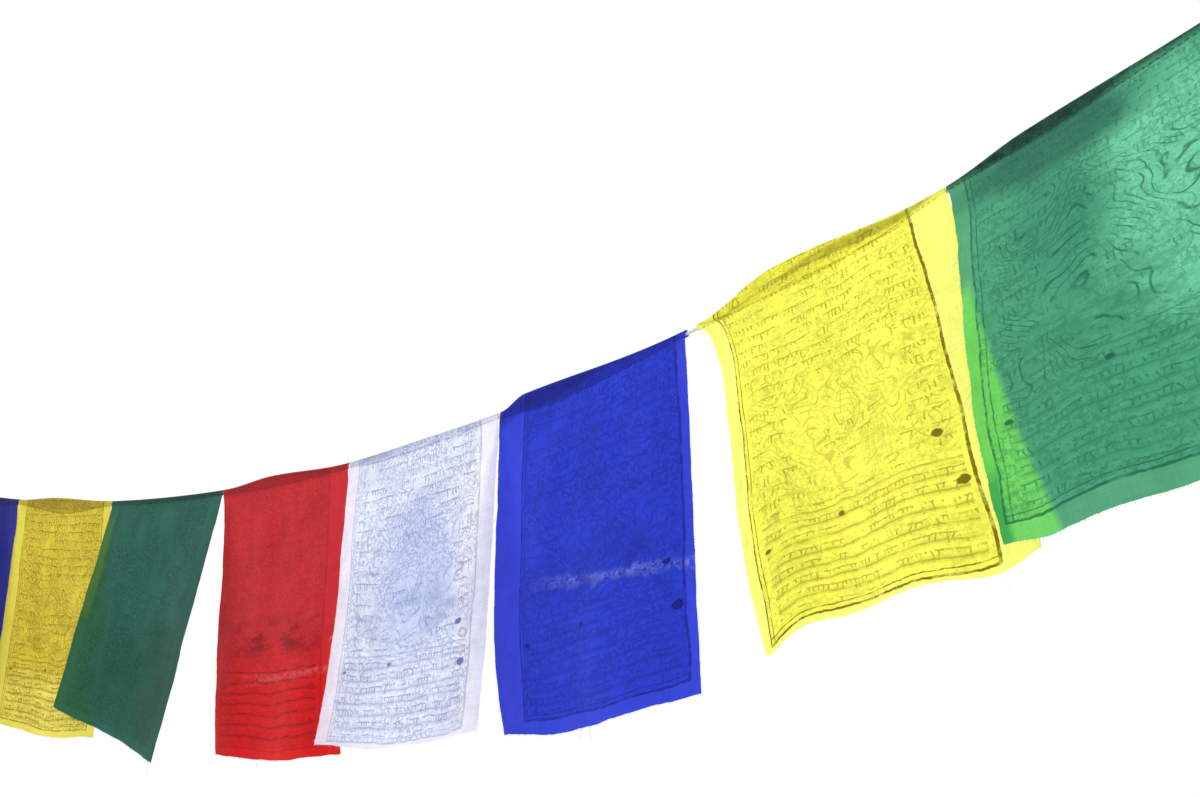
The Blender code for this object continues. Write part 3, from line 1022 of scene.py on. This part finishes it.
# Patches of another colour: colour, middle across and down, half width and half height. The
# near-white one at flag 5's right is painted light, and flag 8's dark one just under its hem is
# painted shadow; the others make the cloth lighter or darker in one place.
TONE_AND_LIGHT_PATCHES = {
    "flag_2_yellow": (((240, 226, 92), 92, 216, 90, 34),),
    "flag_3_green": (((32, 86, 68), 112, 190, 70, 42),),
    "flag_4_red": (((214, 16, 18), 90, 222, 150, 62),),
    "flag_5_white": (((206, 216, 248), 92, 118, 44, 62), ((254, 255, 255), 166, 130, 26, 110)),
    "flag_8_green": (
        ((112, 208, 162), 118, 90, 46, 84), ((60, 146, 112), 56, 80, 26, 42),
        ((46, 118, 92), 62, 22, 56, 20),
    ),
}


def screen(colour):
    """A colour given as 0 to 255 in the linear form that shaders use, for this light."""
    out = []
    for part in colour:
        share = part / 255
        linear = share / 12.92 if share <= 0.04045 else ((share + 0.055) / 1.055) ** 2.4
        out.append(linear / LIGHT_GAIN)
    return (*out, 1.0)


def blend(share, a, b):
    """Two colours mixed."""
    return output(node(share.tree, "Mix", {0: share, 6: a, 7: b}, data_type="RGBA"), 2)


def new_material(name):
    made = bpy.data.materials.new(name)
    made.use_nodes = True
    made.node_tree.nodes.clear()
    return made, made.node_tree


def surface(shader):
    """Make a shader the one that the material shows."""
    feed(output(shader), node(shader.id_data, "OutputMaterial").inputs["Surface"])


def matt(colour, relief, depth, strength, roughness, sheen):
    """The light that comes back off cotton, with its relief as a bump."""
    bump = node(colour.tree, "Bump", {"Height": relief, "Distance": depth, "Strength": strength})
    inputs = {"Base Color": colour, "Normal": output(bump), "Roughness": roughness}
    inputs |= {"Specular IOR Level": 0.2, "Sheen Weight": sheen}
    return node(colour.tree, "BsdfPrincipled", inputs)


def dyed_with_painted_light(cut, pull, x, y, block, weave):
    """The cloth's colour before the ink: uneven dye, rubbed folds, strips of painted light where the
    flag behind shines through, and patches, one of painted light and one of painted shadow.
    """
    place = joined(x, y, CUTS.index(cut) * 5.0)
    mottle = cloud(place, 0.016, 3.0)
    patches = cloud(place, 0.09, 4.0, 0.6)
    light = (mottle - 0.5) * 0.3 + (patches - 0.5) * 0.36 + (output(weave, "Slub") - 0.5) * 0.5 + 1
    base = blend(output(block, "Inside"), screen(pull.margin), screen(pull.cloth))
    # Painted light: strips where the flag behind shines through.
    for colour, reach, growth, first_down, last_down, soft in PAINTED_SHINE_THROUGH.get(cut.name, ()):
        painted_shine = below(x - (y - first_down) * growth, reach, soft) & above(y, first_down, 14)
        base = blend(painted_shine & below(y, last_down, 14), base, screen(colour))
    # Patches of other tone, among them one of painted light and one of painted shadow.
    for colour, across, down, half_width, half_height in TONE_AND_LIGHT_PATCHES.get(cut.name, ()):
        reach = length_of((x - across) / half_width, (y - down) / half_height)
        base = blend(below(reach + (mottle - 0.5), 1.0, 0.7), base, screen(colour))
    cloth = output(node(x.tree, "HueSaturation", {"Value": light, "Color": base}))
    if cut.name in RUBS:
        left, right, half, strength = RUBS[cut.name]
        line = y - x * ((right - left) / cut.width) - left
        specks = above(cloud(place, 0.3, 4.0, 0.7), 0.49, 0.16)
        rubbed = below(abs(line + (patches - 0.5) * 12), half, half * 1.6) & specks & above(x, 60, 50)
        pale = screen([mix(part, 255, 0.4) for part in pull.cloth])
        cloth = blend(rubbed * strength, cloth, pale)
    return cloth


def inked(pull, block):
    """How much ink lies on the cloth, from 0 to 1."""
    ink = output(block, "Border") * pull.border
    for name in ("Marks", "Lines", "Emblem", "Flow", "Grain", "Solid", "Dots"):
        ink = ink | output(block, name) * getattr(pull, name.lower())
    return ink


def paint_hem_shade(number, x, y, colour):
    """The colour with the hem's dark band laid over it, which follows the raised fold. The band is
    painted shade, for the doubled cloth and the cord inside it holding back the light from behind.
    """
    cut, hang = CUTS[number], HANGS[number]
    if cut.name not in HEM_PAINTED_SHADE:
        return colour
    dark, below_fold, thin, thick, at, reach, strength = HEM_PAINTED_SHADE[cut.name]
    share = x / cut.width
    rise = ((share / hang.lift_at & (share * -1 + 1) / (1 - hang.lift_at)) * (pi / 2)).sine()
    off = (share - at) / reach
    bulge = (off * off * -1).calc("ADD", 1.0, clamp=True)
    half = bulge * (thick - thin) + thin
    sag = (share.calc("POWER", 0.75) * pi).sine() * below_fold * (bulge * -0.7 + 1)
    ragged = (cloud(joined(x, y, 3.0), 0.2, 4.0, 0.7) - 0.5) * (5 if below_fold else 0)
    from_middle = abs(y + rise * rise * hang.lift - half - sag + ragged)
    mottled = above(cloud(joined(x, y, 9.0), 0.16, 4.0, 0.7), 0.5, 0.3)
    painted_shade = below(from_middle - half, 0.0, 2.2 if below_fold else 5.0) * (mottled * 0.45 + 0.55)
    return blend(painted_shade * strength, colour, screen(dark))


def cotton(number):
    """The printed cotton of one flag."""
    cut = CUTS[number]
    pull = PULLS[cut.name]
    made, tree = new_material(f"printed_{cut.name}")
    uv = node(tree, "UVMap", uv_map="cloth")
    split = node(tree, "SeparateXYZ", {0: output(uv)})
    x, y = output(split, 0) * 1000, output(split, 1) * 1000
    down = y * ((PRINT_DROP - LOW_RULE) / (PRINT_DROP - pull.low))
    given = {"Across": x - pull.aside, "Down": down, "Width": float(cut.width - pull.narrow)}
    given |= {"Seed": float(number), "Slant": pull.slant}
    block = node(tree, "Group", given, node_tree=woodblock)
    weave = node(tree, "Group", {"Across": x, "Down": y, "Seed": float(number)}, node_tree=plain_weave)
    cloth = dyed_with_painted_light(cut, pull, x, y, block, weave)
    colour = blend(inked(pull, block), cloth, screen(pull.ink))
    # The hem's dark band: painted shade.
    colour = paint_hem_shade(number, x, y, colour)
    front = matt(colour, output(weave, "Height"), 0.12 * MM, 0.45, 0.88, 0.15)
    behind = node(tree, "BsdfTranslucent", {"Color": colour})
    surface(node(tree, "MixShader", {0: 0.5, 1: output(front), 2: output(behind)}))
    return made


for number, sheet in enumerate(sheets):
    sheet.data.materials.append(cotton(number))
print("printed cottons:", len(PULLS))

# %% [markdown]
# Thread and cord are the same cotton without print. Frayed ends have the flag's colour, stitches
# one between it and the colour of the hem's painted shade, and the cord is undyed. Fine noise
# stands for the fibres: it tints the yarn and roughens it.

# %% Thread and cord
CORD_COLOUR = (226, 222, 208)


def plain_cotton(name, colour, fibre):
    """Unprinted cotton yarn, fibre being how many fibres show in a millimetre."""
    made, tree = new_material(name)
    place = output(node(tree, "TexCoord"), "Object")
    fine = cloud(place, fibre * 1000, 3.0, 0.6)
    broad = cloud(place, 60.0, 2.0)
    light = (fine - 0.5) * 0.35 + (broad - 0.5) * 0.3 + 1
    dye = node(tree, "HueSaturation", {"Value": light, "Color": screen(colour)})
    surface(matt(output(dye), fine, 0.1 * MM, 0.6, 0.92, 0.2))
    return made


for number, (seam, fray) in enumerate(zip(seams, frays)):
    name = CUTS[number].name
    cloth = PULLS[name].cloth
    # Stitches lie in the hem's painted shade, so their thread is painted part way towards it.
    shade_of_hem = HEM_PAINTED_SHADE[name][0] if name in HEM_PAINTED_SHADE else cloth
    between = [mix(a, b, 0.55) for a, b in zip(cloth, shade_of_hem)]
    seam.data.materials.append(plain_cotton(f"thread_{name}", between, 1.2))
    fray.data.materials.append(plain_cotton(f"yarn_{name}", cloth, 1.2))
cord_cotton = plain_cotton("cord_cotton", CORD_COLOUR, 1.6)
for piece in (header, left_end, right_end):
    piece.data.materials.append(cord_cotton)
print("materials:", len(bpy.data.materials))

# %% [markdown]
# Every piece now takes the place of its plain solid: it rides on the root body, and the solid is
# hidden. A flag's flat size is its finished drop and the hem turned under.

# %% Put each piece in place of its solid
for piece, solid in ((header, "header_cord"), (left_end, "left_loop"), (right_end, "right_loop")):
    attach(piece, "root")
    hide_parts(solid)
for number, (sheet, seam, fray) in enumerate(zip(sheets, seams, frays)):
    cut = CUTS[number]
    for piece in (sheet, seam, fray):
        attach(piece, "root")
    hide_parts(cut.name)
print("pieces that ride:", 3 + 3 * len(sheets))

# %% [markdown]
# The string hangs against a bright, even sky, so the surround is plain white and lights the cloth
# from behind. One large soft lamp from the front gives the folds their shape. The floor lies far
# below, out of this picture, and shows from other sides.

# %% Light, surround and floor
FLOOR_DEPTH = -1.3
FLOOR_SIZE = 40
FLOOR_COLOUR = (0.82, 0.82, 0.81, 1)

scene = bpy.context.scene
scene.view_settings.view_transform = "Standard"
world = bpy.data.worlds.new("white_surround")
world.use_nodes = True
background = world.node_tree.nodes["Background"].inputs
background["Color"].default_value = (1, 1, 1, 1)
background["Strength"].default_value = 1.0
scene.world = world

lamp = bpy.data.lights.new("soft_lamp", "SUN")
lamp.energy = 1.1
lamp.angle = radians(35)
lamp_object = link(bpy.data.objects.new("soft_lamp", lamp))
lamp_object.rotation_euler = (radians(48), radians(-8), radians(-38))

build = bmesh.new()
bmesh.ops.create_grid(build, x_segments=1, y_segments=1, size=FLOOR_SIZE / 2)
floor = mesh_object("floor", build)
floor.location = (0.8, 0, FLOOR_DEPTH)
floor_finish, floor_tree = new_material("pale_floor")
surface(node(floor_tree, "BsdfPrincipled", {"Base Color": FLOOR_COLOUR, "Roughness": 0.9}))
floor.data.materials.append(floor_finish)
floor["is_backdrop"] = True
print("floor at", FLOOR_DEPTH, "m")

# %% [markdown]
# Last, the box of the dressed string and the box of its solids are printed, in millimetres.

# %% Measure and finish
looks_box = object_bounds()
boxes = {"cad": [list(corner) for corner in cad_box], "looks": [list(corner) for corner in looks_box]}
for name, (low, high) in boxes.items():
    print(name, "box in mm:", [round((b - a) / MM, 1) for a, b in zip(low, high)])
